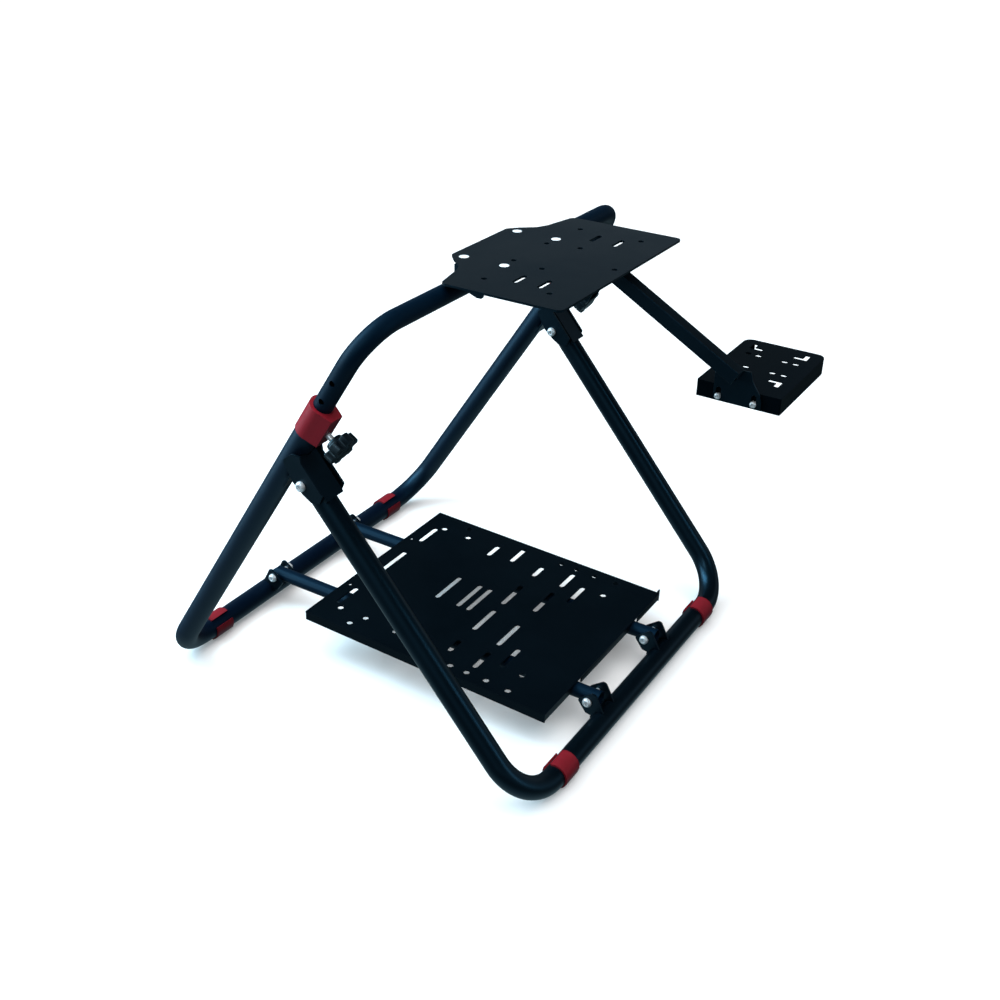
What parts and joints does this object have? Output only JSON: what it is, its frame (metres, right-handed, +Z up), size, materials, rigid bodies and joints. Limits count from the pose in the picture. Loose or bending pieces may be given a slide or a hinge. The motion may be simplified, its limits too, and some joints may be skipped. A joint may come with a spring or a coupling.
{
  "type": "folding racing wheel stand",
  "caption": "Folding tube stand for a racing wheel and pedals, with a telescopic tilting wheel plate, a hinged pedal tray and an adjustable side tray for a shifter.",
  "frame": {"origin": "on the floor, at the middle of the bounding box", "axes": "+Z up, +X towards the seated driver (front), +Y to the driver's right; the two bent frames are mirrored about the XZ plane"},
  "size_m": [0.7709, 0.6758, 0.6324],
  "materials": {
    "black_coat": "satin black powder coat on steel, faintly blue",
    "red_plastic": "dark red moulded plastic, slightly glossy",
    "zinc_steel": "bright zinc plated steel",
    "knob_plastic": "black moulded plastic, semi-matt"
  },
  "bodies": {
    "rear_frame": {"rear_frame_tube": "black_coat", "collar_left": "red_plastic", "collar_right": "red_plastic", "hinge_bracket_left": "black_coat", "hinge_bracket_right": "black_coat", "hinge_bolt_left": "zinc_steel", "hinge_bolt_right": "zinc_steel", "hinge_nut_left": "zinc_steel", "hinge_nut_right": "zinc_steel", "rear_clip_left": "red_plastic", "rear_clip_right": "red_plastic", "rear_clevis_left": "black_coat", "rear_clevis_right": "black_coat", "rear_clevis_bolt_left": "zinc_steel", "rear_clevis_bolt_right": "zinc_steel", "rear_clevis_nut_left": "zinc_steel", "rear_clevis_nut_right": "zinc_steel"},
    "upper_frame": {"upper_frame_tube": "black_coat"},
    "knob_left": {"clamp_knob_left": "knob_plastic", "clamp_stud_left": "zinc_steel"},
    "knob_right": {"clamp_knob_right": "knob_plastic", "clamp_stud_right": "zinc_steel"},
    "front_frame": {"front_frame_tube": "black_coat", "hinge_cap_left": "black_coat", "hinge_cap_right": "black_coat", "front_clip_left": "red_plastic", "front_clip_right": "red_plastic", "front_clevis_left": "black_coat", "front_clevis_right": "black_coat", "front_clevis_bolt_left": "zinc_steel", "front_clevis_bolt_right": "zinc_steel", "front_clevis_nut_left": "zinc_steel", "front_clevis_nut_right": "zinc_steel"},
    "pedal_tray": {"pedal_plate": "black_coat", "support_tube_left": "black_coat", "support_tube_right": "black_coat", "pedal_saddle_rear_left": "black_coat", "pedal_saddle_rear_right": "black_coat", "pedal_saddle_middle_left": "black_coat", "pedal_saddle_middle_right": "black_coat", "pedal_screw_rear_left": "zinc_steel", "pedal_screw_rear_right": "zinc_steel", "pedal_screw_middle_left": "zinc_steel", "pedal_screw_middle_right": "zinc_steel"},
    "wheel_mount": {"wheel_plate": "black_coat", "tilt_bracket_left": "black_coat", "tilt_bracket_right": "black_coat", "plate_bolt_rear_left": "zinc_steel", "plate_bolt_rear_right": "zinc_steel", "plate_bolt_front_left": "zinc_steel", "plate_bolt_front_right": "zinc_steel", "arm_socket_left": "black_coat", "arm_socket_right": "black_coat"},
    "shifter_arm": {"shifter_arm": "black_coat", "arm_end_plate": "black_coat"},
    "shifter_tray": {"shifter_tray": "black_coat", "tray_bolt_rear": "zinc_steel", "tray_bolt_front": "zinc_steel", "tray_nut_rear": "zinc_steel", "tray_nut_front": "zinc_steel"}
  },
  "joints": [
    {"name": "height_slide", "type": "slide", "parent": "rear_frame", "child": "upper_frame", "axis": [0.5389, 0, 0.8424], "range_m": [-0.0326, 0.1304]},
    {"name": "clamp_turn_left", "type": "hinge", "parent": "rear_frame", "child": "knob_left", "pos_m": [-0.07053, -0.3101, 0.48162], "axis": [0.8424, 0, -0.5389], "range_deg": [-180, 180]},
    {"name": "clamp_turn_right", "type": "hinge", "parent": "rear_frame", "child": "knob_right", "pos_m": [-0.07053, 0.3101, 0.48162], "axis": [0.8424, 0, -0.5389], "range_deg": [-180, 180]},
    {"name": "front_fold", "type": "hinge", "parent": "rear_frame", "child": "front_frame", "pos_m": [-0.078, 0, 0.3995], "axis": [0, 1, 0], "range_deg": [0, 70]},
    {"name": "tray_fold", "type": "hinge", "parent": "rear_frame", "child": "pedal_tray", "pos_m": [-0.3485, 0, 0.048], "axis": [0, 1, 0], "range_deg": [-57.2, 0]},
    {"name": "wheel_tilt", "type": "hinge", "parent": "upper_frame", "child": "wheel_mount", "pos_m": [0.01398, 0, 0.6137], "axis": [0, 1, 0], "range_deg": [-15, 15]},
    {"name": "arm_slide", "type": "slide", "parent": "wheel_mount", "child": "shifter_arm", "axis": [0.8724, 0, -0.4888], "range_m": [0, 0.03]},
    {"name": "tray_height", "type": "slide", "parent": "shifter_arm", "child": "shifter_tray", "axis": [0, 0, 1], "range_m": [0, 0.008]}
  ],
  "couplings": [
    {"joint": "tray_fold", "follows": "front_fold", "ratio": -0.814}
  ]
}
